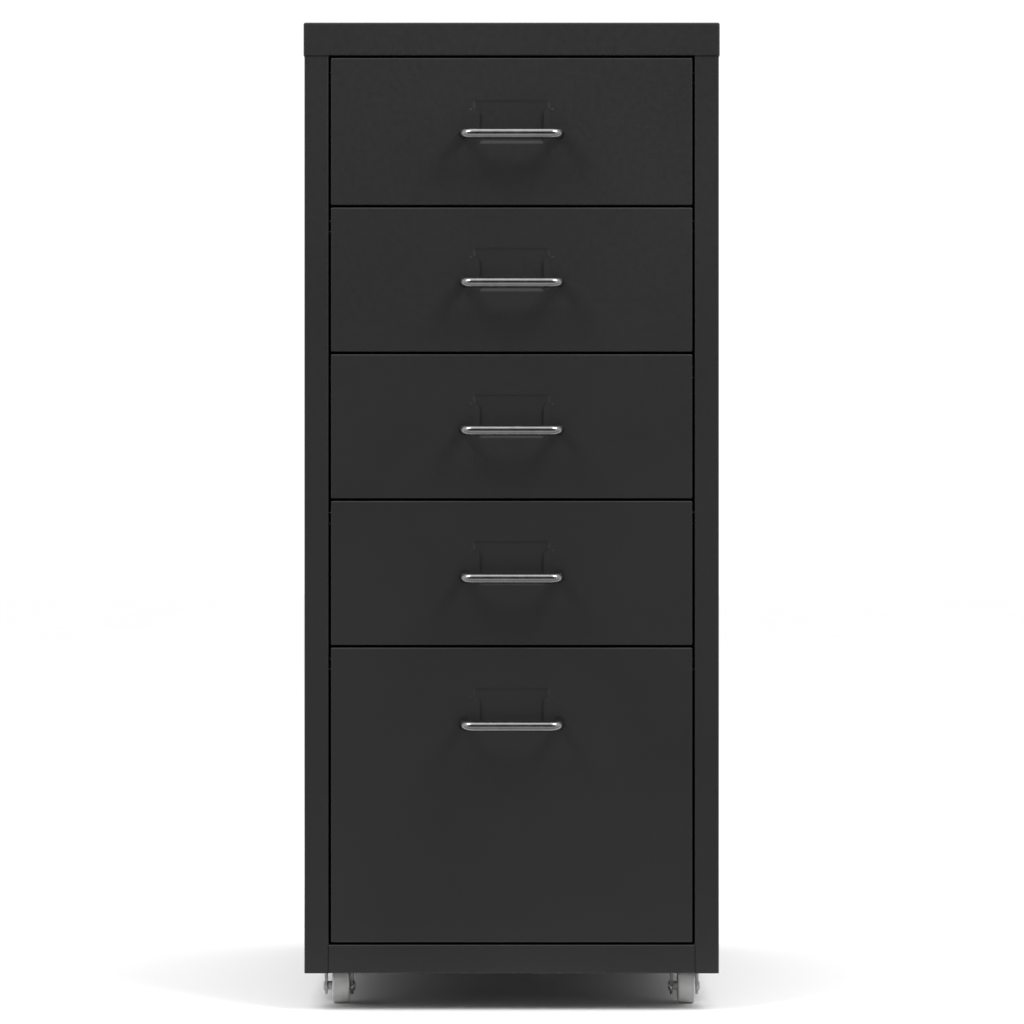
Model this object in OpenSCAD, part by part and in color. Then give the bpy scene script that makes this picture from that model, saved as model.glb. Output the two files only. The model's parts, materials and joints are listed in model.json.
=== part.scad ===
// Rolling pedestal cabinet: a folded sheet-steel carcass on four swivel casters, with four shallow
// drawers over one deep drawer. X is the width, the drawers open towards -Y, and Z = 0 is the floor.

/* [Carcass] */
// Width across the two side panels
body_w = 286; // [240:1:360]
// Depth from the lid's front flange to its rear flange
body_d = 385; // [340:1:500]
// Height of the body's bottom edge above the floor
ground_gap = 26.5; // [26.5:0.5:40]
// Thickness of the folded steel sheet
sheet = 0.6; // [0.5:0.1:1]
// Height of the lid's flanges
lid_h = 22.8; // [16:0.2:30]
// Width of each side panel's front stile
stile_w = 16.7; // [15.5:0.1:20]
// Height of the plinth below the lowest drawer
plinth_h = 19.7; // [18.5:0.1:30]
// Depth of the folds that stiffen the front edges
front_fold = 10; // [6:0.5:12]
// Width of the side panels' rear flanges
rear_flange = 12; // [10:1:20]

/* [Drawers] */
// Height of the top drawer's front
top_front_h = 101.6; // [90:0.2:140]
// Height of the three middle drawers' fronts
front_h = 99.6; // [90:0.2:140]
// Height of the deep bottom drawer's front
deep_front_h = 203.4; // [160:0.2:260]
// Gap above and below each drawer front
front_gap = 1.6; // [1:0.1:3]
// Gap between a drawer front and a stile
side_gap = 1.55; // [1:0.05:2]
// Depth of the folded edge round a drawer front
front_return = 12; // [8:0.5:14]
// Half of the drawer tray's outer width
tray_half = 119; // [90:0.5:119]
// Depth of a drawer tray
tray_d = 370; // [300:1:370]
// How far a drawer pulls out before its stops meet the runners
travel = 290; // [200:5:300]

/* [Handles] */
// Diameter of the handle wire
wire_d = 7; // [5:0.5:8]
// Distance between the two posts of a handle
post_span = 66; // [64:1:80]
// How far a handle stands out from its drawer front
handle_reach = 24; // [20:0.5:30]
// Angle by which the bow hangs below level
droop = 6; // [0:0.5:7]
// Centreline radius of the two bends
bend_r = 7; // [5:0.5:9]
// Distance from a front's top edge down to the posts
handle_drop = 51; // [40:0.5:60]

/* [Label holders] */
// Width of the recess that takes the label card
pocket_w = 54; // [40:1:56]
// Top of the recess above the posts
pocket_up = 24; // [16:1:30]
// Bottom of the recess below the posts
pocket_down = 7.5; // [5:0.5:8]
// Depth of the recess
pocket_d = 1.6; // [1.2:0.1:2]
// Width of each lip that holds the card
lip_w = 5; // [3:0.5:8]
// Height of each lip
lip_h = 25; // [16:0.5:26]

/* [Casters] */
// Diameter of a wheel
wheel_d = 24; // [20:0.5:24]
// Width of a wheel's tread
wheel_w = 12; // [8:0.5:12]
// Distance of each stem from the cabinet's middle
caster_x = 121; // [80:1:121]
// Distance of each stem from the front or rear of the cabinet
caster_inset = 36.5; // [34:0.5:60]
// Distance of the axle behind the stem
trail = 9; // [6:0.5:10]
// Clear width between the fork's two plates
fork_inner = 16.5; // [15:0.5:20]
// Thickness of the fork's plate
fork_t = 1.5; // [1:0.1:2]

/* [Hidden] */
$fn = 64;
DRAWERS = [1, 2, 3, 4, 5];
SIDES = ["left", "right"];
CASTERS = ["front_left", "front_right", "rear_left", "rear_right"];

// Colours
anthracite = [0.20, 0.20, 0.205];
zinc = [0.72, 0.73, 0.74];
bright_chrome = [0.85, 0.86, 0.87];
light_grey = [0.62, 0.62, 0.61];
black_plastic = [0.08, 0.08, 0.08];

// Length of a cut that only has to pass through a sheet
cut = 6;

// Depth: the handles stand out at the front and the screw heads at the rear
screw_head_h = 1.6;
total_d = body_d - sheet + handle_reach + screw_head_h;
lid_front = -total_d / 2 + handle_reach - sheet;
face_y = lid_front + sheet;
lid_rear = total_d / 2 - screw_head_h;
back_y = lid_rear - sheet;
flange_y = back_y - 2 * sheet;

// Height: the drawers are stacked up from the plinth
front_heights = [top_front_h, front_h, front_h, front_h, deep_front_h];
plinth_top = ground_gap + plinth_h;
function front_bottom(i) = plinth_top + front_gap
    + (i < 5 ? front_bottom(i + 1) - plinth_top + front_heights[i] : 0);
function front_top(i) = front_bottom(i) + front_heights[i - 1];
function post_z(i) = front_top(i) - handle_drop - (i == 1 ? (top_front_h - front_h) * 0.65 : 0);
body_top = front_top(1) + front_gap + lid_h;
panel_top = body_top - sheet;

// Width
web_in = body_w / 2 - sheet;
opening_half = body_w / 2 - stile_w;
edge_gap = 0.2;
front_half = opening_half - side_gap;

// Drawer trays hang in their runners by a flange that is folded out and down
tray_low = 5;
tray_drop = 9;
tray_rear = face_y + sheet + tray_d;
flange_out = opening_half - 0.8;
flange_lip = 6;
flange_start = face_y + front_return + 2;
function tray_bottom(i) = front_bottom(i) + tray_low;
function tray_top(i) = front_top(i) - tray_drop;

// Runners
runner_t = 0.8;
moving_gap = 0.3;
runner_in = tray_half + 2.2;
runner_front = face_y + front_return + 4;
runner_rear = flange_y - sheet - 3;
runner_tab_in = flange_out + 3;
stop_out = runner_tab_in + 6.5;
stop_l = 12;
notch_d = 1.5;
clip_in = 3.6;
clip_h = 4.9;
nose_l = 3;
stop_y = runner_front + runner_t + travel + 0.5;

// Casters
axle_r = 2;
running_fit = 0.05;
hub_r = 3.2;
hub_gap = 0.25;
wheel_shift = 1.5;
lobe_r = 6;
fork_front = -4;
fork_rear = trail + lobe_r - 0.2;
crown_r = 10;
crown_z = ground_gap + 0.5;
crown_t = 1.6;
stem_flange_t = 2.1;
stem_flange_z = crown_z + crown_t + moving_gap;
rail_z = stem_flange_z + stem_flange_t;
rail_t = 1.2;
rail_half = 12;
stud_r = 4;
spigot_r = 3.5;
stem_y = [face_y + caster_inset, lid_rear - caster_inset];

// Fasteners: sheet-metal screws in the panels, machine screws in the handles
panel_screw_r = 1.75;
panel_screw_l = 7;
panel_head_r = 3.5;
panel_pilot_r = 1.8;
panel_clear_r = 2.1;
handle_screw_r = 2;
handle_screw_l = 5.6;
handle_head_r = 4;
handle_head_h = 2.4;
handle_thread_r = 2.05;
handle_clear_r = 2.15;
nut_r = 6.5 / cos(30);
nut_h = 6.5;
thread_gap = 0.03;
screw_x = body_w / 2 - rear_flange / 2;
screw_z = [ground_gap + 9, ground_gap + 220, body_top - 230, body_top - lid_h / 2];

// A box between two opposite corners
module block(a, b) {
    translate(a) cube(b - a);
}

module both_sides() {
    children();
    mirror([1, 0, 0]) children();
}

// A straight hole or pin along Y, centred on a point
module along_y(x, y, z, r, length) {
    translate([x, y, z]) rotate([90, 0, 0]) cylinder(r = r, h = length, center = true);
}

// ---- Carcass ----

// One folded channel: web, front stile with its return, rear flange and top flange
module side_panel() {
    outer = body_w / 2;
    color(anthracite) difference() {
        union() {
            block([web_in, face_y, ground_gap], [outer, flange_y + sheet, panel_top]);
            block([opening_half, face_y, ground_gap], [outer, face_y + sheet, panel_top]);
            block([opening_half, face_y, ground_gap],
                  [opening_half + sheet, face_y + front_fold, panel_top]);
            block([outer - rear_flange, flange_y, ground_gap], [outer, flange_y + sheet, panel_top]);
            block([outer - rear_flange, face_y + front_fold + 2, panel_top - sheet],
                  [outer, flange_y + sheet, panel_top]);
        }
        for (z = screw_z) along_y(screw_x, flange_y, z, panel_pilot_r, cut);
    }
}

// The lid fits over the side panels, with a flange on every side and a return under the front one
module top_panel() {
    outer = body_w / 2 + sheet;
    low = body_top - lid_h;
    color(anthracite) difference() {
        union() {
            block([-outer, lid_front, panel_top], [outer, lid_rear, body_top]);
            block([-outer, lid_front, low], [outer, face_y, body_top]);
            block([-outer, back_y, low], [outer, lid_rear, body_top]);
            block([-opening_half + edge_gap, lid_front, low],
                  [opening_half - edge_gap, face_y + front_fold, low + sheet]);
            both_sides() block([body_w / 2, lid_front, low], [outer, lid_rear, body_top]);
        }
        both_sides() along_y(screw_x, back_y, screw_z[3], panel_clear_r, cut);
    }
}

// Floor sheet with the plinth folded down at the front, and flanges at the sides and the rear
module bottom_panel() {
    floor_z = plinth_top - sheet;
    plinth_half = opening_half - edge_gap;
    deep_y = face_y + front_fold + 0.5;
    rear_in = flange_y - sheet;
    color(anthracite) difference() {
        union() {
            block([-web_in, deep_y, floor_z], [web_in, flange_y, plinth_top]);
            block([-plinth_half, face_y, floor_z], [plinth_half, deep_y + 1, plinth_top]);
            block([-plinth_half, face_y, ground_gap], [plinth_half, face_y + sheet, plinth_top]);
            block([-plinth_half, face_y, ground_gap],
                  [plinth_half, face_y + front_fold, ground_gap + sheet]);
            block([-web_in, rear_in, ground_gap], [web_in, flange_y, plinth_top]);
            both_sides()
                block([web_in - sheet, deep_y, ground_gap + 5], [web_in, flange_y, plinth_top]);
        }
        both_sides() along_y(screw_x, flange_y, screw_z[0], panel_pilot_r, cut);
    }
}

// Flat sheet with a shallow pressed field that keeps it stiff
module back_panel() {
    half = body_w / 2 - 0.3;
    edge = 30;
    depth = 1.5;
    low = ground_gap + edge + 20;
    high = panel_top - edge - lid_h;
    field = half - edge;
    color(anthracite) difference() {
        union() {
            difference() {
                block([-half, flange_y + sheet, ground_gap], [half, back_y, panel_top]);
                block([-field, flange_y, low], [field, back_y + 1, high]);
            }
            difference() {
                block([-field, flange_y + sheet - depth, low], [field, back_y, high]);
                block([-field + sheet, flange_y + 2 * sheet - depth, low + sheet],
                      [field - sheet, back_y + 1, high - sheet]);
            }
        }
        both_sides() for (z = screw_z) along_y(screw_x, flange_y, z, panel_clear_r, cut);
    }
}

// Hat-section rail across the underside, which carries two caster stems
module base_rail(y) {
    length_half = web_in - sheet - 0.5;
    top = plinth_top - sheet;
    foot = 8;
    color(anthracite) difference() {
        union() {
            block([-length_half, y - rail_half, rail_z], [length_half, y + rail_half, rail_z + rail_t]);
            for (s = [-1, 1]) translate([0, y, 0]) mirror([0, s < 0 ? 1 : 0, 0]) {
                block([-length_half, rail_half - rail_t, rail_z], [length_half, rail_half, top]);
                block([-length_half, rail_half - rail_t, top - rail_t],
                      [length_half, rail_half + foot, top]);
            }
        }
        both_sides() translate([caster_x, y, rail_z - 1]) cylinder(r = stud_r + edge_gap, h = rail_t + 2);
    }
}

// C-shaped rail on the inside of a side panel, with a tab at the front that meets the drawer's stop
module runner(i) {
    low = tray_top(i) - flange_lip - moving_gap - runner_t;
    high = tray_top(i) + 0.5 + runner_t;
    color(zinc) union() {
        block([web_in - runner_t, runner_front, low], [web_in, runner_rear, high]);
        block([runner_in, runner_front, low], [web_in, runner_rear, low + runner_t]);
        block([runner_in, runner_front, high - runner_t], [web_in, runner_rear, high]);
        block([runner_tab_in, runner_front, low], [web_in, runner_front + runner_t, high]);
    }
}

// Pan-head screw along -Y, its seat at the origin
module pan_screw(head_r, head_h, shank_r, shank_l) {
    slot = [head_r * 1.1, 1, 0.9];
    rotate([90, 0, 0]) difference() {
        union() {
            cylinder(r = shank_r, h = shank_l);
            translate([0, 0, -head_h * 0.6]) cylinder(r = head_r, h = head_h * 0.6);
            translate([0, 0, -head_h]) cylinder(r1 = head_r * 0.75, r2 = head_r, h = head_h * 0.4);
        }
        for (a = [0, 90]) rotate([0, 0, a]) translate([0, 0, -head_h]) cube(slot, center = true);
    }
}

module panel_screws() {
    color(zinc) both_sides() for (k = [0:3])
        translate([screw_x, k == 3 ? lid_rear : back_y, screw_z[k]])
            pan_screw(panel_head_r, screw_head_h, panel_screw_r, panel_screw_l);
}

// ---- Drawers ----

// Folded tray: floor, two sides with their hanging flanges, back wall, and tabs behind the front
module tray(i) {
    low = tray_bottom(i);
    high = tray_top(i);
    y0 = face_y + sheet;
    rear_hem = 8;
    front_tab = i == 5 ? 8 : 10;
    floor_tab = i == 5 ? 8 : 12;
    color(anthracite) difference() {
        union() {
            block([-tray_half, y0, low], [tray_half, tray_rear, low + sheet]);
            block([-tray_half, tray_rear - sheet, low], [tray_half, tray_rear, high]);
            block([-tray_half, tray_rear - rear_hem, high - sheet], [tray_half, tray_rear, high]);
            block([-tray_half, y0, low], [tray_half, y0 + sheet, low + floor_tab]);
            both_sides() {
                block([tray_half - sheet, y0, low], [tray_half, tray_rear, high]);
                block([tray_half - front_tab, y0, low], [tray_half, y0 + sheet, high]);
                block([tray_half - sheet, flange_start, high - sheet], [flange_out, tray_rear, high]);
                block([flange_out - sheet, flange_start, high - flange_lip], [flange_out, tray_rear, high]);
            }
        }
        both_sides() block([flange_out - notch_d, stop_y, high - flange_lip - 1],
                           [flange_out + 1, stop_y + stop_l, high - sheet]);
    }
}

// Clips in the notches of the hanging flanges, which stop the drawer at full travel
module stops(i) {
    high = tray_top(i) - sheet;
    color(black_plastic) both_sides() union() {
        block([flange_out - clip_in, stop_y, high - clip_h], [stop_out, stop_y + stop_l, high]);
        block([flange_out + 1, stop_y, high - clip_h], [stop_out, stop_y + nose_l, high + sheet]);
    }
}

// The part of a lip that is cut away round its upper inner corner
module lip_corner(r) {
    difference() {
        translate([-1, 0]) square([r + 1, r + 1]);
        translate([r, 0]) circle(r = r);
    }
}

// One lip seen from the front, its inner edge at x = 0
module lip_outline() {
    difference() {
        square([lip_w, lip_h]);
        translate([0, lip_h - lip_w + 0.5]) lip_corner(lip_w - 0.5);
    }
}

// Recess behind the front's face, with a lip at each side that holds a label card
module label_pocket() {
    half = pocket_w / 2;
    difference() {
        block([-half, 0, -pocket_down], [half, pocket_d + sheet, pocket_up]);
        block([-half + sheet, -1, -pocket_down + sheet], [half - sheet, pocket_d, pocket_up - sheet]);
    }
    both_sides() translate([half - lip_w, sheet, -pocket_down])
        rotate([90, 0, 0]) linear_extrude(sheet) lip_outline();
}

// Flat front with folded edges, a label pocket and two screw holes
module drawer_front(i) {
    low = front_bottom(i);
    high = front_top(i);
    z = post_z(i);
    half = pocket_w / 2;
    rear = face_y + front_return;
    color(anthracite) union() {
        difference() {
            block([-front_half, face_y, low], [front_half, face_y + sheet, high]);
            block([-half, face_y - 1, z - pocket_down], [half, face_y + 1, z + pocket_up]);
            both_sides() along_y(post_span / 2, face_y, z, handle_clear_r, cut);
        }
        block([-front_half, face_y, low], [front_half, rear, low + sheet]);
        block([-front_half, face_y, high - sheet], [front_half, rear, high]);
        both_sides() block([front_half - sheet, face_y, low], [front_half, rear, high]);
        translate([0, face_y, z]) label_pocket();
    }
}

// Bent wire bow, level at its ends and drooping towards the bar
module handle(i) {
    wire_r = wire_d / 2;
    reach = (handle_reach - wire_r) / cos(droop);
    overlap = 3;
    color(bright_chrome) translate([0, face_y, post_z(i)]) difference() {
        rotate([droop, 0, 0]) union() {
            both_sides() {
                translate([post_span / 2, overlap, 0]) rotate([90, 0, 0])
                    cylinder(r = wire_r, h = reach - bend_r + overlap);
                translate([post_span / 2 - bend_r, bend_r - reach, 0]) rotate([0, 0, -90])
                    rotate_extrude(angle = 90) translate([bend_r, 0]) circle(r = wire_r);
            }
            translate([bend_r - post_span / 2, -reach, 0]) rotate([0, 90, 0])
                cylinder(r = wire_r, h = post_span - 2 * bend_r);
        }
        block([-post_span, 0, -10], [post_span, 10, 10]);
        both_sides() along_y(post_span / 2, 0, 0, handle_thread_r, 2 * cut);
    }
}

module handle_screws(i) {
    color(zinc) both_sides() translate([post_span / 2, face_y + sheet, post_z(i)])
        pan_screw(handle_head_r, handle_head_h, handle_screw_r, handle_screw_l);
}

// ---- Casters ----

function left_side(c) = c == "front_left" || c == "rear_left";
function front_end(c) = c == "front_left" || c == "front_right";

// Moves its children to one caster's stem
module at_caster(c) {
    translate([left_side(c) ? -caster_x : caster_x, front_end(c) ? stem_y[0] : stem_y[1], 0]) children();
}

// Threaded stud, flange and riveted spigot on which the fork turns
module caster_stem() {
    head = 5.2;
    head_h = 1.3;
    head_top = crown_z - moving_gap;
    stud_l = 12;
    chamfer = 0.8;
    color(zinc) rotate_extrude() polygon([
        [0, head_top - head_h], [head, head_top - head_h], [head, head_top], [spigot_r, head_top],
        [spigot_r, stem_flange_z], [crown_r, stem_flange_z], [crown_r, rail_z], [stud_r, rail_z],
        [stud_r, rail_z + stud_l], [stud_r - chamfer, rail_z + stud_l + chamfer],
        [0, rail_z + stud_l + chamfer]
    ]);
}

module fork_plate() {
    translate([fork_inner / 2, 0, 0]) rotate([90, 0, 90]) linear_extrude(fork_t) union() {
        translate([trail, wheel_d / 2]) circle(r = lobe_r);
        polygon([
            [trail - lobe_r, wheel_d / 2], [fork_rear, wheel_d / 2], [fork_rear, crown_z + crown_t],
            [fork_front, crown_z + crown_t], [fork_front, crown_z - 2]
        ]);
    }
}

// Pressed fork: a crown round the stem and a plate each side of the wheel
module caster_fork() {
    half = fork_inner / 2 + fork_t;
    color(zinc) difference() {
        union() {
            both_sides() fork_plate();
            translate([0, 0, crown_z]) cylinder(r = crown_r, h = crown_t);
            block([-half, fork_front, crown_z], [half, fork_rear, crown_z + crown_t]);
        }
        translate([0, 0, crown_z - 1]) cylinder(r = spigot_r + running_fit, h = crown_t + 2);
        translate([0, trail, wheel_d / 2]) rotate([0, 90, 0])
            cylinder(r = axle_r + thread_gap, h = 2 * half + 2, center = true);
    }
}

// Riveted axle with a domed head at each end
module caster_axle() {
    half = fork_inner / 2 + fork_t;
    head = 3.8;
    head_flat = 2.2;
    head_edge = half + 0.5;
    head_end = half + 1.5;
    color(zinc) translate([0, trail, wheel_d / 2]) rotate([0, 90, 0]) rotate_extrude() polygon([
        [0, -head_end], [head_flat, -head_end], [head, -head_edge], [head, -half], [axle_r, -half],
        [axle_r, half], [head, half], [head, head_edge], [head_flat, head_end], [0, head_end]
    ]);
}

// Points of a quarter round, from one angle to another
function arc(cx, cy, r, from, to) = [for (k = [0:4]) let (a = from + (to - from) * k / 4)
    [cx + r * cos(a), cy + r * sin(a)]];

// Moulded wheel: rounded tread, dished faces and a hub that is longer on one side
module caster_wheel() {
    r = wheel_d / 2;
    round_r = 2;
    low = wheel_shift - wheel_w / 2;
    high = wheel_shift + wheel_w / 2;
    rim = r - 3;
    dish = 1.5;
    hub_half = fork_inner / 2 - hub_gap;
    bore = axle_r + running_fit;
    color(light_grey) translate([0, trail, r]) rotate([0, 90, 0]) rotate_extrude() polygon(concat(
        [[bore, -hub_half], [hub_r, -hub_half], [hub_r, low + dish], [rim, low + dish], [rim, low]],
        arc(r - round_r, low + round_r, round_r, -90, 0),
        arc(r - round_r, high - round_r, round_r, 0, 90),
        [[rim, high], [rim, high - dish], [hub_r, high - dish], [hub_r, hub_half], [bore, hub_half]]
    ));
}

module caster_nuts() {
    color(zinc) both_sides() for (y = stem_y) translate([caster_x, y, rail_z + rail_t]) difference() {
        cylinder(r = nut_r, h = nut_h, $fn = 6);
        translate([0, 0, -1]) cylinder(r = stud_r + thread_gap, h = nut_h + 2);
    }
}

// ---- Assembly ----

mirror([1, 0, 0]) side_panel();  // side_panel_left
side_panel();  // side_panel_right
top_panel();
bottom_panel();
back_panel();
base_rail(stem_y[0]);  // base_rail_front
base_rail(stem_y[1]);  // base_rail_rear
caster_nuts();
panel_screws();
for (i = DRAWERS) {
    mirror([1, 0, 0]) runner(i);
    runner(i);
    tray(i);
    drawer_front(i);
    handle(i);
    handle_screws(i);
    stops(i);
}
for (c = CASTERS) {
    at_caster(c) caster_stem();
    at_caster(c) caster_fork();
    at_caster(c) caster_axle();
    at_caster(c) caster_wheel();
}
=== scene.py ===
import json
import math

import bmesh
import bpy
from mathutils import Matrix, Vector


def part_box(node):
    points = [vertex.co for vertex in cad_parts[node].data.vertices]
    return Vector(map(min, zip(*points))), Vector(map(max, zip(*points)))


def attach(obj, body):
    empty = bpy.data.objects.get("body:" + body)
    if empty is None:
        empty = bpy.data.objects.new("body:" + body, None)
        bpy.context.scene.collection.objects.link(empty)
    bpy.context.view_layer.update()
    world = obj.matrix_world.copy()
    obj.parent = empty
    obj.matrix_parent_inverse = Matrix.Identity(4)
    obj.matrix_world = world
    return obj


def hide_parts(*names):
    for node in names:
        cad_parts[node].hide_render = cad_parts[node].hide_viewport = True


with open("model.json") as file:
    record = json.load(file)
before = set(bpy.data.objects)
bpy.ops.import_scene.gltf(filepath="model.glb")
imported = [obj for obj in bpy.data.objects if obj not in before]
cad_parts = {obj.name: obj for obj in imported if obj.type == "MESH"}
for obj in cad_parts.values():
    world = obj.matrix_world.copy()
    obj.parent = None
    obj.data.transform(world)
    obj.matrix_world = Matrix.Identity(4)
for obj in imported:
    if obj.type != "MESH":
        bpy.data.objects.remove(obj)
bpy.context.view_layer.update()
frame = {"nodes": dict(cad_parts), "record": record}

MM = 0.001
SHEET = 0.6 * MM  # thickness of the folded steel sheet
FOLD_R = 1.1 * MM  # outer radius of an ordinary fold
LID_R = 1.5 * MM  # outer radius of the lid's folds
LID_GAP = 0.2 * MM  # between the lid's returned fold and each stile
PLINTH_GAP = 0.06 * MM  # between the plinth and each stile
RAIL_T = 1.2 * MM  # thickness of the base rails
RAIL_R = 1.2 * MM  # centreline radius of their folds
RAIL_FOOT = 8 * MM  # width of their feet
STILE_RETURN = 10 * MM  # depth of the folds behind the stiles, the plinth and the lid's front
PANEL_FLANGE = 12 * MM  # width of the side panels' folds at the rear and the top
GRID = 60 * MM  # spacing of the grid lines on the lid
WIRE_R = 3.5 * MM  # the handle wire's radius
DROOP = math.radians(6)  # how far a handle's bow hangs below level
BEND_R = 7 * MM  # centreline radius of the handle's bends
DRAWERS = range(1, 6)
CASTERS = ("front_left", "front_right", "rear_left", "rear_right")
SMOOTH_DEG = 35.0  # edges that turn more than this are drawn sharp
MERGE_DIST = 1e-7  # points closer than this are one point
WELD_DIST = 0.001 * MM  # the same for the CAD nodes
BEVEL_DEG = 40.0  # edges of the CAD nodes that turn more than this are rounded


# ---- Materials ----

def new_material(name):
    """A new material, its node tree, its shader, and the coordinate in the piece's own space."""
    material = bpy.data.materials.new(name)
    material.use_nodes = True
    tree = material.node_tree
    shader = tree.nodes["Principled BSDF"]
    place = tree.nodes.new("ShaderNodeTexCoord").outputs["Object"]
    return material, tree, shader, place


def noise(tree, place, scale, detail=2.0, stretch=None):
    """A noise texture's value, stretched along some axes if asked."""
    if stretch:
        mapping = tree.nodes.new("ShaderNodeMapping")
        mapping.inputs["Scale"].default_value = stretch
        tree.links.new(place, mapping.inputs["Vector"])
        place = mapping.outputs["Vector"]
    node = tree.nodes.new("ShaderNodeTexNoise")
    node.inputs["Scale"].default_value = scale
    node.inputs["Detail"].default_value = detail
    tree.links.new(place, node.inputs["Vector"])
    return node.outputs["Fac"]


def ramp(tree, value, low, high, start=0.3, end=0.7):
    """Maps a noise value onto a range of numbers."""
    node = tree.nodes.new("ShaderNodeMapRange")
    node.inputs["From Min"].default_value = start
    node.inputs["From Max"].default_value = end
    node.inputs["To Min"].default_value = low
    node.inputs["To Max"].default_value = high
    tree.links.new(value, node.inputs["Value"])
    return node.outputs["Result"]


def tint(tree, value, dark, light):
    """Blends between two colours by a noise value."""
    node = tree.nodes.new("ShaderNodeValToRGB")
    node.color_ramp.elements[0].position = 0.3
    node.color_ramp.elements[1].position = 0.7
    node.color_ramp.elements[0].color = (*dark, 1)
    node.color_ramp.elements[1].color = (*light, 1)
    tree.links.new(value, node.inputs["Fac"])
    return node.outputs["Color"]


def bump(tree, shader, value, height, strength=1.0, before=None):
    """Adds a bump of a height in metres, on top of another bump if one is given."""
    node = tree.nodes.new("ShaderNodeBump")
    node.inputs["Distance"].default_value = height
    node.inputs["Strength"].default_value = strength
    tree.links.new(value, node.inputs["Height"])
    if before:
        tree.links.new(before, node.inputs["Normal"])
    tree.links.new(node.outputs["Normal"], shader.inputs["Normal"])
    return node.outputs["Normal"]


def powder_coat():
    """Satin anthracite powder coat: fine orange peel, and a tone that drifts a little over a panel."""
    material, tree, shader, place = new_material("anthracite_powder_coat")
    drift = noise(tree, place, 9.0)
    tree.links.new(tint(tree, drift, (0.0135, 0.0135, 0.0140), (0.0162, 0.0162, 0.0167)),
                   shader.inputs["Base Color"])
    tree.links.new(ramp(tree, noise(tree, place, 260.0, 3.0), 0.44, 0.52),
                   shader.inputs["Roughness"])
    bump(tree, shader, noise(tree, place, 900.0, 2.0), 0.012 * MM, 0.5)
    shader.inputs["Specular IOR Level"].default_value = 0.38
    return material


def chrome():
    """Polished chrome plate with faint draw lines and a slightly uneven polish."""
    material, tree, shader, place = new_material("chromed_wire")
    shader.inputs["Metallic"].default_value = 1.0
    cloud = noise(tree, place, 160.0, 3.0)
    tree.links.new(tint(tree, cloud, (0.225, 0.225, 0.228), (0.265, 0.265, 0.268)),
                   shader.inputs["Base Color"])
    tree.links.new(ramp(tree, cloud, 0.16, 0.24), shader.inputs["Roughness"])
    bump(tree, shader, noise(tree, place, 700.0, 2.0, (0.15, 1.0, 1.0)), 0.01 * MM, 0.3)
    return material


def zinc():
    """Bright zinc plate over pressed steel, with rolling streaks and a mottled passivate."""
    material, tree, shader, place = new_material("zinc_plate")
    shader.inputs["Metallic"].default_value = 1.0
    mottle = noise(tree, place, 220.0, 4.0)
    tree.links.new(tint(tree, mottle, (0.33, 0.335, 0.345), (0.46, 0.46, 0.455)),
                   shader.inputs["Base Color"])
    tree.links.new(ramp(tree, mottle, 0.30, 0.45), shader.inputs["Roughness"])
    bump(tree, shader, noise(tree, place, 500.0, 3.0, (1.0, 0.1, 1.0)), 0.02 * MM, 0.4)
    return material


def grey_plastic():
    """Moulded light grey nylon, with a fine spark-eroded grain and scuffs of darker dust."""
    material, tree, shader, place = new_material("light_grey_plastic")
    cloud = noise(tree, place, 130.0, 4.0)
    tree.links.new(tint(tree, cloud, (0.64, 0.64, 0.63), (0.71, 0.71, 0.70)),
                   shader.inputs["Base Color"])
    tree.links.new(ramp(tree, cloud, 0.42, 0.55), shader.inputs["Roughness"])
    bump(tree, shader, noise(tree, place, 2200.0, 2.0), 0.02 * MM, 0.5)
    return material


def black_plastic():
    """Moulded black nylon with a fine grain."""
    material, tree, shader, place = new_material("black_plastic")
    grain = noise(tree, place, 1800.0, 2.0)
    tree.links.new(tint(tree, grain, (0.010, 0.010, 0.010), (0.018, 0.018, 0.018)),
                   shader.inputs["Base Color"])
    tree.links.new(ramp(tree, grain, 0.4, 0.55), shader.inputs["Roughness"])
    bump(tree, shader, grain, 0.02 * MM, 0.4)
    return material


def matt_stage(name, dark, light, shaded_near_cabinet=False):
    """A matt studio surface. Its tone drifts a little at random, or is painted darker towards the
    cabinet as a painted shade.
    """
    material, tree, shader, place = new_material(name)
    if shaded_near_cabinet:
        # painted shade: the surface is painted darker the nearer it lies to the cabinet
        split = tree.nodes.new("ShaderNodeSeparateXYZ")
        tree.links.new(place, split.inputs["Vector"])
        tone = ramp(tree, split.outputs["Y"], 0.0, 1.0, CLOTH_NEAR_Y, CLOTH_FAR_Y)
    else:
        tone = noise(tree, place, 3.0)
    tree.links.new(tint(tree, tone, (dark,) * 3, (light,) * 3), shader.inputs["Base Color"])
    shader.inputs["Roughness"].default_value = 0.95
    shader.inputs["Specular IOR Level"].default_value = 0.0
    return material


MATERIALS = {
    "anthracite_steel": powder_coat(),
    "zinc_steel": zinc(),
    "chromed_wire": chrome(),
    "grey_wheel": grey_plastic(),
    "black_plastic": black_plastic(),
}


# ---- Mesh helpers ----

def add_mesh(name, points, faces, smooth_deg=SMOOTH_DEG):
    """A new object from points and faces, with doubled points merged and normals outwards."""
    mesh = bpy.data.meshes.new(name)
    mesh.from_pydata([tuple(p) for p in points], [], faces)
    piece = bpy.data.objects.new(name, mesh)
    bpy.context.scene.collection.objects.link(piece)
    work = bmesh.new()
    work.from_mesh(mesh)
    bmesh.ops.remove_doubles(work, verts=work.verts, dist=MERGE_DIST)
    bmesh.ops.dissolve_degenerate(work, edges=work.edges, dist=MERGE_DIST)
    bmesh.ops.recalc_face_normals(work, faces=work.faces)
    work.to_mesh(mesh)
    work.free()
    mesh.shade_smooth()
    mesh.set_sharp_from_angle(angle=math.radians(smooth_deg))
    return piece


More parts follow.
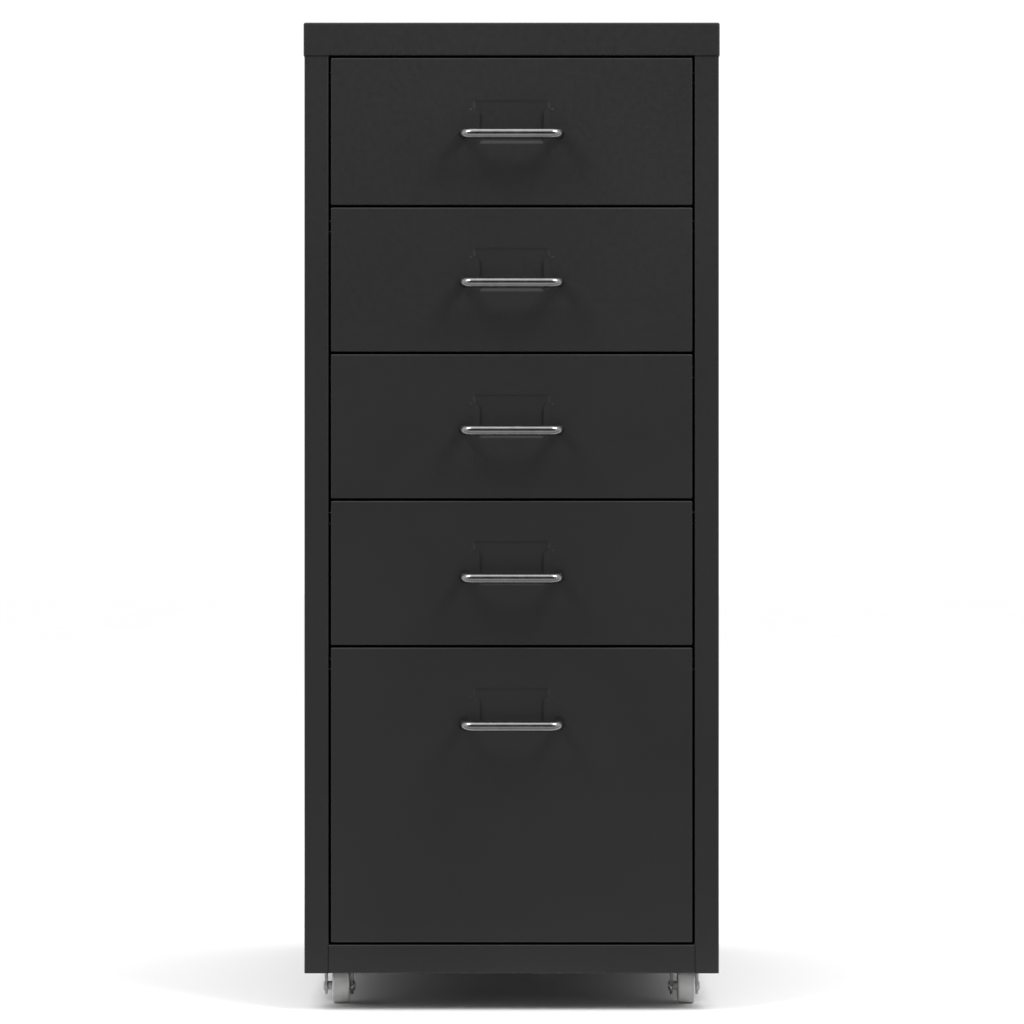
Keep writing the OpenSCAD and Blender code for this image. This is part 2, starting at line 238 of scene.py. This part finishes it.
def finish_piece(piece, slot, body, nodes=()):
    """Gives a piece the material of its record slot and its body, and hides the CAD nodes that it
    stands for.
    """
    piece.data.materials.append(MATERIALS[slot])
    shading = piece.modifiers.new("shading", "WEIGHTED_NORMAL")
    shading.keep_sharp = True
    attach(piece, body)
    if nodes:
        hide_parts(*nodes)
    return piece


def join(name, pieces):
    """Joins pieces into the first one, and renames it."""
    with bpy.context.temp_override(active_object=pieces[0], selected_editable_objects=pieces):
        bpy.ops.object.join()
    pieces[0].name = name
    return pieces[0]


def rounded_path(corners, radius, steps=5):
    """A bent line as (point, normal) pairs. Each inner corner becomes an arc, and the normal
    is to the left."""
    out = []
    count = len(corners)
    for k, corner in enumerate(corners):
        here = Vector(corner)
        before = (here - Vector(corners[k - 1])).normalized() if k else None
        after = (Vector(corners[k + 1]) - here).normalized() if k + 1 < count else None
        if before is None or after is None:
            way = after or before
            out.append((here, Vector((-way.y, way.x))))
            continue
        turn = math.atan2(before.cross(after), before.dot(after))
        reach = radius * math.tan(abs(turn) / 2)
        side = math.copysign(1.0, turn)
        centre = here - before * reach + Vector((-before.y, before.x)) * radius * side
        for s in range(steps + 1):
            angle = turn * s / steps
            way = Vector((before.x * math.cos(angle) - before.y * math.sin(angle),
                          before.x * math.sin(angle) + before.y * math.cos(angle)))
            normal = Vector((-way.y, way.x))
            out.append((centre - normal * radius * side, normal))
    return out


def bent_sheet(name, corners, low, high, place, thickness=SHEET, radius=None):
    """A folded strip: a centreline with rounded bends, given its thickness and drawn out from low
    to high. place turns (u, v, w) into a point, where w runs along the strip."""
    half = thickness / 2
    path = rounded_path(corners, radius or FOLD_R - half)
    rows = [[p + n * half for p, n in path], [p - n * half for p, n in path]]
    count = len(path)
    points = [place(p.x, p.y, w) for w in (low, high) for row in rows for p in row]
    faces = []
    for k in range(count - 1):
        a, b, c, d = k, count + k, 2 * count + k, 3 * count + k
        faces += [(a, a + 1, c + 1, c), (b, b + 1, d + 1, d),
                  (a, a + 1, b + 1, b), (c, c + 1, d + 1, d)]
    for k in (0, count - 1):
        faces.append((k, count + k, 3 * count + k, 2 * count + k))
    return add_mesh(name, points, faces)


def lines(marks, step):
    """Grid lines that pass through each mark, no further apart than step."""
    out = []
    for a, b in zip(marks, marks[1:]):
        count = max(1, math.ceil((b - a) / step))
        out += [a + (b - a) * k / count for k in range(count)]
    return out + [marks[-1]]


def folded_pan(name, us, vs, radius, depths, place, height=None, keep=None, steps=6):
    """A sheet with its four edges rolled over. us and vs are the grid lines of the flat face,
    which is inset by the radius. height(u, v) presses the face in, depths are where the walls'
    rows lie, and keep(u, v, row) says which wall faces stay."""
    nu, nv = len(us), len(vs)
    points = [place(u, v, height(u, v) if height else 0.0) for v in vs for u in us]
    faces = [(j * nu + i, j * nu + i + 1, (j + 1) * nu + i + 1, (j + 1) * nu + i)
             for j in range(nv - 1) for i in range(nu - 1)]
    edge = []
    for i in range(nu - 1):
        edge.append((us[i], vs[0], -90))
    for j in range(nv - 1):
        edge.append((us[-1], vs[j], 0))
    for i in range(nu - 1, 0, -1):
        edge.append((us[i], vs[-1], 90))
    for j in range(nv - 1, 0, -1):
        edge.append((us[0], vs[j], 180))
    rim = []
    for k, (u, v, turn) in enumerate(edge):
        last = edge[k - 1][2]
        if last != turn:
            last -= 360 if last > turn else 0
            rim += [(u, v, last + (turn - last) * s / steps) for s in range(steps)]
        rim.append((u, v, turn))
    rings = [(radius * math.sin(a), radius - radius * math.cos(a))
             for a in (math.pi / 2 * s / steps for s in range(steps + 1))]
    rings += [(radius, d) for d in depths]
    start = len(points)
    for out, down in rings:
        for u, v, turn in rim:
            a = math.radians(turn)
            points.append(place(u + out * math.cos(a), v + out * math.sin(a), down))
    count = len(rim)
    for row in range(len(rings) - 1):
        for k in range(count):
            nxt = (k + 1) % count
            middle = (rim[k][0] + rim[nxt][0]) / 2, (rim[k][1] + rim[nxt][1]) / 2
            if keep and not keep(*middle, row - steps):
                continue
            a, b = start + row * count + k, start + row * count + nxt
            faces.append((a, b, b + count, a + count))
    piece = add_mesh(name, points, faces)
    add_thickness(piece)
    return piece


def add_thickness(piece, thickness=SHEET):
    """Gives a surface its thickness inwards, as real mesh, with its cut edges kept sharp."""
    solid = piece.modifiers.new("sheet", "SOLIDIFY")
    solid.thickness = thickness
    solid.offset = -1.0
    solid.use_even_offset = True
    bpy.context.view_layer.update()
    graph = bpy.context.evaluated_depsgraph_get()
    piece.data = bpy.data.meshes.new_from_object(piece.evaluated_get(graph))
    piece.modifiers.clear()
    piece.data.shade_smooth()
    piece.data.set_sharp_from_angle(angle=math.radians(SMOOTH_DEG))


def lathe(name, outline, place, steps=96):
    """Turns a closed outline of (radius, along) points about an axis. place turns (x, y, along)
    into a point."""
    count = len(outline)
    points = []
    for s in range(steps):
        a = 2 * math.pi * s / steps
        points += [place(r * math.cos(a), r * math.sin(a), t) for r, t in outline]
    faces = []
    for s in range(steps):
        for k in range(count):
            a, b = s * count, ((s + 1) % steps) * count
            n = (k + 1) % count
            faces.append((a + k, a + n, b + n, b + k))
    return add_mesh(name, points, faces, 30.0)


def tube(name, path, radius, sides=32):
    """A round bar along points, closed at both ends. Its rings stay square to the path."""
    points, faces = [], []
    count = len(path)
    for k, p in enumerate(path):
        way = (path[min(k + 1, count - 1)] - path[max(k - 1, 0)]).normalized()
        across = way.cross(Vector((0, -math.sin(DROOP), math.cos(DROOP)))).normalized()
        up = across.cross(way)
        for s in range(sides):
            a = 2 * math.pi * s / sides
            points.append(p + across * radius * math.cos(a) + up * radius * math.sin(a))
    for k in range(count - 1):
        for s in range(sides):
            n = (s + 1) % sides
            a, b = k * sides, (k + 1) * sides
            faces.append((a + s, a + n, b + n, b + s))
    faces.append(tuple(range(sides)))
    faces.append(tuple((count - 1) * sides + s for s in range(sides)))
    return add_mesh(name, points, faces, 50.0)


# ---- Ways that a strip or a pan is laid in the frame ----

def upright(u, v, w):
    """Section in plan, drawn up along Z."""
    return Vector((u, v, w))


def across_width(u, v, w):
    """Section in the Y-Z plane, drawn along X."""
    return Vector((w, u, v))


def along_depth(u, v, w):
    """Section in the X-Z plane, drawn along Y."""
    return Vector((u, w, v))


# ---- Carcass ----

def side_panels():
    """Left and right channels: the stile's return, stile, web and rear flange as one folded
    section, with the flange at the top joined on."""
    half = SHEET / 2
    overlap = 1 * MM  # how far the top flange's sheet runs into the web's
    for side, sign in (("left", -1), ("right", 1)):
        node = f"side_panel_{side}"
        low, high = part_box(node)
        outer = sign * max(abs(low.x), abs(high.x))
        inner = sign * min(abs(low.x), abs(high.x))
        flange_in = outer - sign * PANEL_FLANGE
        web = outer - sign * half
        section = [
            (inner + sign * half, low.y + STILE_RETURN),
            (inner + sign * half, low.y + half),
            (web, low.y + half), (web, high.y - half), (flange_in, high.y - half),
        ]
        body = bent_sheet(node + "_sheet", section, low.z, high.z, upright)
        strip = [(web - sign * overlap, high.z - half), (flange_in, high.z - half)]
        top = bent_sheet(node + "_top", strip, low.y + PANEL_FLANGE, high.y - SHEET, along_depth)
        finish_piece(join(node + "_sheet", [body, top]), "anthracite_steel", "root", [node])


def lid():
    """The shallow lid, with its front flange returned between the stiles."""
    low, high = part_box("top_panel")
    opening = stile_inner() - LID_GAP
    drop = high.z - low.z
    curl = 3 * MM  # how far up the front flange the returned fold starts
    us = lines([low.x + LID_R, -opening, opening, high.x - LID_R], GRID)
    vs = lines([low.y + LID_R, high.y - LID_R], GRID)

    def on_top(u, v, w):
        return Vector((u, v, high.z - w))

    def keep(u, v, row):
        return not (row == 1 and abs(u) < opening and v <= vs[0])

    pan = folded_pan("lid_pan", us, vs, LID_R, [drop - curl, drop], on_top, keep=keep)
    half = SHEET / 2
    section = [(low.y + half, low.z + curl), (low.y + half, low.z + half),
               (low.y + SHEET + STILE_RETURN, low.z + half)]
    fold = bent_sheet("lid_return", section, -opening, opening, across_width)
    finish_piece(pan, "anthracite_steel", "root", ["top_panel"])
    finish_piece(fold, "anthracite_steel", "root")


def stile_inner():
    """Half the width of the opening between the stiles."""
    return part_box("side_panel_right")[0].x


def bottom():
    """Floor with side flanges, plinth folded down at the front, and rear flange."""
    low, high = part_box("bottom_panel")
    half = SHEET / 2
    floor = high.z - half
    plinth = stile_inner() - PLINTH_GAP
    seam = low.y + STILE_RETURN + 0.5 * MM  # where the floor meets the plinth's sheet
    side = high.x - half
    skirt = low.z + 5 * MM  # lower edge of the side flanges
    section = [(-side, skirt), (-side, floor), (side, floor), (side, skirt)]
    tray = bent_sheet("floor_sheet", section, seam, high.y - SHEET, along_depth)
    section = [(seam, floor), (low.y + half, floor), (low.y + half, low.z + half),
               (low.y + STILE_RETURN, low.z + half)]
    front = bent_sheet("plinth_sheet", section, -plinth, plinth, across_width)
    rear = bent_sheet("rear_skirt", [(high.y - half, low.z), (high.y - half, high.z)],
                      low.x, high.x, across_width)
    finish_piece(tray, "anthracite_steel", "root", ["bottom_panel"])
    finish_piece(front, "anthracite_steel", "root")
    finish_piece(rear, "anthracite_steel", "root")


def rounded_ring(half_w, half_h, radius, steps=6):
    """Points round a rectangle with rounded corners, in its own plane."""
    out = []
    for k, (sx, sy) in enumerate(((1, -1), (1, 1), (-1, 1), (-1, -1))):
        for s in range(steps + 1):
            a = math.radians(-90 + 90 * k + 90 * s / steps)
            out.append((sx * (half_w - radius) + radius * math.cos(a),
                        sy * (half_h - radius) + radius * math.sin(a)))
    return out


def back():
    """Back sheet with a shallow pressed field, whose edges slope softly."""
    low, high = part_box("back_panel")
    middle = (low.z + high.z) / 2
    half_w, half_h = high.x, (high.z - low.z) / 2
    inset_x, inset_z = 30 * MM, 54 * MM  # from the sheet's edges to the pressed field
    rings = [(0, 0, 0.5 * MM, 0.0)]  # inset across, inset up, corner radius, depth
    for step, radius, depth in ((0, 12, 0), (1.2, 11, 0.5), (2.8, 10, 1.3), (4, 9, 1.5)):
        rings.append((inset_x + step * MM, inset_z + step * MM, radius * MM, depth * MM))
    points, faces = [], []
    for du, dv, radius, depth in rings:
        points += [(x, high.y - depth, middle + z)
                   for x, z in rounded_ring(half_w - du, half_h - dv, radius)]
    count = len(points) // len(rings)
    for r in range(len(rings) - 1):
        for k in range(count):
            n = (k + 1) % count
            a, b = r * count, (r + 1) * count
            faces.append((a + k, a + n, b + n, b + k))
    faces.append(tuple((len(rings) - 1) * count + k for k in range(count)))
    piece = add_mesh("back_sheet", points, faces)
    outward = sum((f.normal.y * f.area for f in piece.data.polygons), 0.0)
    if outward < 0:
        piece.data.flip_normals()
    add_thickness(piece)
    finish_piece(piece, "anthracite_steel", "root", ["back_panel"])


def base_rails():
    """Hat-section rails that carry the casters."""
    for end in ("front", "rear"):
        node = f"base_rail_{end}"
        low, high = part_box(node)
        half = RAIL_T / 2
        top, web = high.z - half, low.z + half
        front, rear = low.y + RAIL_FOOT + half, high.y - RAIL_FOOT - half
        section = [(low.y, top), (front, top), (front, web), (rear, web), (rear, top), (high.y, top)]
        piece = bent_sheet(node + "_sheet", section, low.x, high.x, across_width, RAIL_T, RAIL_R)
        finish_piece(piece, "anthracite_steel", "root", [node])


# ---- Drawer fronts ----

FRONT_GRID = 9 * MM  # spacing of the grid lines on a front
POCKET_HALF = 27 * MM  # half the label recess's width
POCKET_UP = 24 * MM  # its top above the posts
POCKET_DOWN = 7.5 * MM  # its bottom below them
POCKET_DEPTH = 0.95 * MM
SLOPE_TOP = 2.8 * MM  # length of the pressed slope at its top
SLOPE_BOTTOM = 3.4 * MM
SLOPE_SIDE = 2.4 * MM
MARK_X = 28.2 * MM  # small raised marks where the lips were cut free
MARK_UP = 16.3 * MM  # their height above the posts
MARK_R = 1.3 * MM
MARK_LIFT = 0.35 * MM
LIP_W = 5 * MM
LIP_TOP = 17.5 * MM  # top of a lip above the posts
LIP_R = 4.5 * MM  # radius of its upper inner corner
LIP_RISE = 3 * MM  # height over which its free edge lifts at the bottom
LIP_LAP = 0.04 * MM  # how far a lip's root covers the recess's side wall
LIP_LIFT = 0.45 * MM  # how far a lip's free edge stands forward


def soft_step(t):
    """Eases from 0 to 1 as t does, and stays there."""
    t = min(1.0, max(0.0, t))
    return t * t * (3 - 2 * t)


def post_height(i):
    """Height of a drawer's handle posts."""
    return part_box(f"drawer_{i}_handle")[1].z - WIRE_R / math.cos(DROOP)


def drawer_front(i):
    """Flat front with rolled edges, a pressed label recess and a lifted lip at each side of it."""
    node = f"drawer_{i}_front"
    low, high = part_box(node)
    post = post_height(i)
    top, bottom_z = post + POCKET_UP, post - POCKET_DOWN

    def pressed(u, v):
        side = soft_step((POCKET_HALF - LIP_LAP - abs(u)) / SLOPE_SIDE)
        up = soft_step((top - v) / SLOPE_TOP)
        down = soft_step((v - bottom_z) / SLOPE_BOTTOM)
        off = math.hypot(abs(u) - MARK_X, v - post - MARK_UP) / MARK_R
        return POCKET_DEPTH * side * up * down - MARK_LIFT * soft_step(1.0 - off)

    def on_front(u, v, w):
        return Vector((u, low.y + w, v))

    us = lines([low.x + FOLD_R, -POCKET_HALF, POCKET_HALF, high.x - FOLD_R], FRONT_GRID)
    for sign in (-1, 1):
        us += [sign * (POCKET_HALF - LIP_LAP - SLOPE_SIDE * k / 6) for k in range(7)]
        us += [sign * (MARK_X + MARK_R * k / 4) for k in range(-3, 5)]
    vs = lines([low.z + FOLD_R, bottom_z, top, high.z - FOLD_R], FRONT_GRID)
    vs += [top - SLOPE_TOP * k / 6 for k in range(1, 7)]
    vs += [bottom_z + SLOPE_BOTTOM * k / 8 for k in range(1, 9)]
    vs += [post + MARK_UP + MARK_R * k / 4 for k in range(-4, 5)]
    us, vs = sorted(us), sorted(vs)
    pan = folded_pan(node + "_sheet", us, vs, FOLD_R, [high.y - low.y], on_front, height=pressed)
    finish_piece(pan, "anthracite_steel", f"drawer_{i}", [node])
    for side, sign in (("left", -1), ("right", 1)):
        lip = label_lip(f"drawer_{i}_label_lip_{side}", sign, low.y, post)
        finish_piece(lip, "anthracite_steel", f"drawer_{i}")


def label_lip(name, sign, face, post, rows=22, columns=6):
    """One lip: flush where it leaves the face, lifted at its free edge, and round at its upper
    inner corner."""
    bottom_z, top = post - POCKET_DOWN, post + LIP_TOP
    inner = POCKET_HALF - LIP_W
    points, faces = [], []
    straight = 6  # rows below the rounded corner
    bend = top - LIP_R
    heights = [bottom_z + (bend - bottom_z) * k / straight for k in range(straight)]
    heights += [bend + LIP_R * math.sin(math.pi / 2 * k / (rows - straight))
                for k in range(rows - straight + 1)]
    for z in heights:
        over = max(0.0, z - bend)
        edge = inner + LIP_R - math.sqrt(max(0.0, LIP_R ** 2 - over ** 2))
        for c in range(columns + 1):
            x = POCKET_HALF + (edge - POCKET_HALF) * c / columns
            across, up = soft_step((POCKET_HALF - x) / LIP_W), soft_step((z - bottom_z) / LIP_RISE)
            points.append((sign * x, face - LIP_LIFT * across * up, z))
    for r in range(len(heights) - 1):
        for c in range(columns):
            a = r * (columns + 1) + c
            faces.append((a, a + 1, a + columns + 2, a + columns + 1))
    piece = add_mesh(name, points, faces)
    if sum(f.normal.y * f.area for f in piece.data.polygons) > 0:
        piece.data.flip_normals()
    add_thickness(piece)
    return piece


# ---- Handles ----

def handle(i):
    """The bent wire bow, drooping from its posts."""
    node = f"drawer_{i}_handle"
    low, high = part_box(node)
    post = post_height(i)
    face = high.y
    half = (high.x - low.x) / 2 - WIRE_R
    reach = (high.y - low.y - WIRE_R) / math.cos(DROOP)
    path = [Vector((half, 0, 0)), Vector((half, -(reach - BEND_R) / 2, 0))]
    for sign, angles in ((1, range(0, 91, 9)), (-1, range(90, -1, -9))):
        for deg in angles:
            a = math.radians(deg)
            x = half - BEND_R + BEND_R * math.cos(a)
            path.append(Vector((sign * x, -(reach - BEND_R) - BEND_R * math.sin(a), 0)))
    path += [Vector((-half, -(reach - BEND_R) / 2, 0)), Vector((-half, 0, 0))]
    tilted = [Vector((p.x, face + p.y * math.cos(DROOP), post + p.y * math.sin(DROOP))) for p in path]
    piece = tube(node + "_wire", tilted, WIRE_R, 40)
    flatten_ends(piece, face)
    finish_piece(piece, "chromed_wire", f"drawer_{i}", [node])


def flatten_ends(piece, face):
    """Slides the end rings of a handle along its posts onto the front's face."""
    reach = WIRE_R * math.sin(DROOP) * 1.5  # an end ring leans this far off the face at most
    for v in piece.data.vertices:
        shift = face - v.co.y
        if shift < reach:
            v.co.z += shift * math.tan(DROOP)
            v.co.y = face


# ---- Casters ----

def wheel(corner):
    """Moulded wheel with a rounded tread, dished faces and a chamfered hub, longer on one side."""
    node = f"caster_{corner}_wheel"
    low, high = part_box(node)
    centre = (low + high) / 2
    r = (high.z - low.z) / 2
    tread_half = 6 * MM
    shift = 1.5 * MM  # from the middle of the hub to the middle of the tread
    middle = centre.x + shift
    hub_half = (high.x - low.x) / 2
    hub_r, bore = 3.2 * MM, 2.05 * MM
    dish = 1.5 * MM  # how far the faces lie inside the tread's edges
    rim = r - 3 * MM
    soft = 0.35 * MM  # chamfer inside the dished faces
    lip = 0.2 * MM  # chamfer at the rim
    round_r = 1.3 * MM

    def half_outline(sign):
        hub_end = hub_half - sign * shift
        out = [(bore, hub_end), (hub_r - soft, hub_end), (hub_r, hub_end - soft),
               (hub_r, tread_half - dish + soft), (hub_r + soft, tread_half - dish),
               (rim - soft, tread_half - dish), (rim, tread_half - dish + soft),
               (rim, tread_half - lip), (rim + lip, tread_half)]
        for k in range(9):
            a = math.pi / 2 * (1 - k / 8)
            out.append((r - round_r + round_r * math.cos(a),
                        tread_half - round_r + round_r * math.sin(a)))
        return [(radius, sign * along) for radius, along in out]

    outline = half_outline(1) + half_outline(-1)[::-1]

    def on_axle(x, y, along):
        return Vector((middle + along, centre.y + x, centre.z + y))

    piece = lathe(node + "_moulding", outline, on_axle)
    finish_piece(piece, "grey_wheel", f"wheel_{corner}", [node])


# ---- CAD nodes that are shown as they are ----

def soften(node, width):
    """Rounds a CAD node's edges a little, without touching its mesh."""
    piece = frame["nodes"][node]
    weld = piece.modifiers.new("weld", "WELD")
    weld.merge_threshold = WELD_DIST
    bevel = piece.modifiers.new("edge", "BEVEL")
    bevel.width = width
    bevel.segments = 2
    bevel.limit_method = "ANGLE"
    bevel.angle_limit = math.radians(BEVEL_DEG)
    bevel.harden_normals = False


def slot_of(node):
    """The record's material slot of a CAD node."""
    for part in frame["record"]["subparts"]:
        if part["node"] == node:
            return part["material_slot"]
    raise KeyError(node)


def dress_cad_nodes():
    """Gives every CAD node its material, and soft edges to those that stay visible."""
    for node, piece in frame["nodes"].items():
        piece.data.materials.clear()
        piece.data.materials.append(MATERIALS[slot_of(node)])
    for i in DRAWERS:
        soften(f"drawer_{i}_tray", 0.18 * MM)
        soften(f"drawer_{i}_stops", 0.3 * MM)
        soften(f"drawer_{i}_handle_screws", 0.2 * MM)
        for side in ("left", "right"):
            soften(f"runner_{side}_{i}", 0.2 * MM)
    for corner in CASTERS:
        soften(f"caster_{corner}_fork", 0.3 * MM)
        soften(f"caster_{corner}_stem", 0.2 * MM)
    for node in ("panel_screws", "caster_nuts"):
        soften(node, 0.2 * MM)


# ---- Studio ----

VIEW_DISTANCE = 2.4  # from the camera to the cabinet's front
VIEW_WIDTH = 0.7062  # width of the picture at the cabinet's front
EYE_HEIGHT = 0.3447
CLOTH_NEAR, CLOTH_FAR = 0.33, 0.52  # tone of the grey cloth beside the cabinet and well in front of it; the darker tone beside the cabinet is painted shade
CLOTH_NEAR_Y, CLOTH_FAR_Y = -0.3, -1.3  # where those tones are reached
CLOTH_EDGE_Y = -0.275  # edge of the cloth, just below the picture
CLOTH_DEPTH = 0.0005  # how far the cloth lies below the floor
FLOOR_HALF = 12.0
FLAG_HALF, FLAG_HEIGHT, FLAG_Y = 6.0, 5.2, -6.0  # the black cloth behind the camera
WORLD_STRENGTH = 1.12
SENSOR_WIDTH = 36.0
EYE_X = 0.00025  # the camera stands this far right of the cabinet's middle
FRONT_TARGET = (0, -0.18, 0.4)  # where the two side softboxes point
SOFTBOXES = (  # name, place, target, size and power
    ("softbox_right", (1.3, -1.2, 2.2), FRONT_TARGET, (0.9, 1.0), 30),
    ("softbox_left", (-1.3, -1.2, 2.2), FRONT_TARGET, (0.9, 1.0), 24),
    ("softbox_above", (0, -0.5, 2.4), (0, -0.4, 0), (2.6, 1.6), 12),
)


def camera():
    """The camera, square on to the front as in the photo."""
    data = bpy.data.cameras.new("camera")
    data.sensor_width = SENSOR_WIDTH
    data.lens = data.sensor_width * VIEW_DISTANCE / VIEW_WIDTH
    data.clip_end = 50.0
    eye = bpy.data.objects.new("camera", data)
    eye.location = (EYE_X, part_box("side_panel_left")[0].y - VIEW_DISTANCE, EYE_HEIGHT)
    eye.rotation_euler = (math.radians(90), 0, 0)
    bpy.context.scene.collection.objects.link(eye)
    bpy.context.scene.camera = eye


def area_light(name, place, target, size, power):
    """A softbox of a size in metres that points at its target."""
    data = bpy.data.lights.new(name, "AREA")
    data.shape = "RECTANGLE"
    data.size, data.size_y = size
    data.energy = power
    lamp = bpy.data.objects.new(name, data)
    lamp.location = place
    lamp.rotation_euler = (Vector(target) - Vector(place)).to_track_quat("-Z", "Y").to_euler()
    bpy.context.scene.collection.objects.link(lamp)


def stage_plane(name, corners, material):
    """A studio surface, which isn't part of the object."""
    mesh = bpy.data.meshes.new(name)
    mesh.from_pydata(corners, [], [(0, 1, 2, 3)])
    mesh.materials.append(material)
    plane = bpy.data.objects.new(name, mesh)
    bpy.context.scene.collection.objects.link(plane)
    return plane


def studio():
    """White surroundings, a pale floor, three softboxes, and cloths that only reflections see."""
    world = bpy.data.worlds.new("studio")
    world.use_nodes = True
    background = world.node_tree.nodes["Background"]
    background.inputs["Color"].default_value = (1, 1, 1, 1)
    background.inputs["Strength"].default_value = WORLD_STRENGTH
    bpy.context.scene.world = world
    bpy.context.scene.view_settings.view_transform = "Standard"
    pale = matt_stage("studio_floor", 0.89, 0.9)
    r, near, far = FLOOR_HALF, CLOTH_EDGE_Y, FLAG_Y
    stage_plane("studio_floor", [(-r, near, 0), (r, near, 0), (r, r, 0), (-r, r, 0)], pale)
    # in front of the cabinet the picture shows the same pale floor, and its reflections show grey cloth
    front = stage_plane("studio_floor_front",
                        [(-r, -r, 0), (r, -r, 0), (r, near, 0), (-r, near, 0)], pale)
    front.visible_diffuse = front.visible_glossy = front.visible_shadow = False
    w, h, under = FLAG_HALF, FLAG_HEIGHT, -CLOTH_DEPTH
    # the grey cloth carries a painted shade, darker towards the cabinet, which reflections and bounced
    # light see
    cloth = stage_plane("studio_cloth",
                        [(-w, far, under), (w, far, under), (w, near, under), (-w, near, under)],
                        matt_stage("studio_grey_cloth", CLOTH_NEAR, CLOTH_FAR, shaded_near_cabinet=True))
    flag = stage_plane("studio_flag", [(-w, far, 0), (w, far, 0), (w, far, h), (-w, far, h)],
                       matt_stage("studio_black_cloth", 0.05, 0.06))
    cloth.visible_camera = flag.visible_camera = False
    for softbox in SOFTBOXES:
        area_light(*softbox)


camera()
dress_cad_nodes()
side_panels()
lid()
bottom()
back()
base_rails()
for i in DRAWERS:
    drawer_front(i)
    handle(i)
for corner in CASTERS:
    wheel(corner)
studio()
